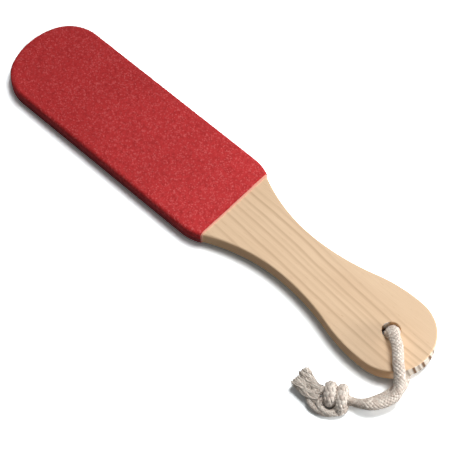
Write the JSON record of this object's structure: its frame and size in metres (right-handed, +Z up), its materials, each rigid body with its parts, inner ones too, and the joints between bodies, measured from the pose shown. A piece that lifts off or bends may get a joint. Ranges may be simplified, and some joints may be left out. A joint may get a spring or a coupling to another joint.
{
  "type": "foot file",
  "caption": "Wooden paddle foot file with an abrasive sheet rolled over each face of its head and a knotted hanging rope through its handle.",
  "frame": {"origin": "bottom centre of the file's bounding box, without the rope, on the surface that it lies on", "axes": "+X from the abrasive head towards the handle's round end, +Y across the file away from the knot, +Z up from the surface; the file leans 0.63 degrees about Y"},
  "size_m": [0.2679, 0.078, 0.0184],
  "materials": {
    "wood": "bare, finely sanded softwood",
    "coarse_grain": "coarse red abrasive grain",
    "fine_grain": "finer red abrasive grain",
    "backing": "stiff pale cloth backing, tinted by the dye of the grain",
    "adhesive": "hardened glue film",
    "rope": "undyed soft cotton rope"
  },
  "bodies": {
    "root": {"paddle_board": "wood", "coarse_adhesive": "adhesive", "coarse_backing": "backing", "coarse_grit": "coarse_grain", "fine_adhesive": "adhesive", "fine_backing": "backing", "fine_grit": "fine_grain", "rope_upper_leg": "rope", "rope_lower_leg": "rope", "rope_knot": "rope", "rope_tail_long": "rope", "rope_tail_short": "rope"}
  },
  "joints": []
}
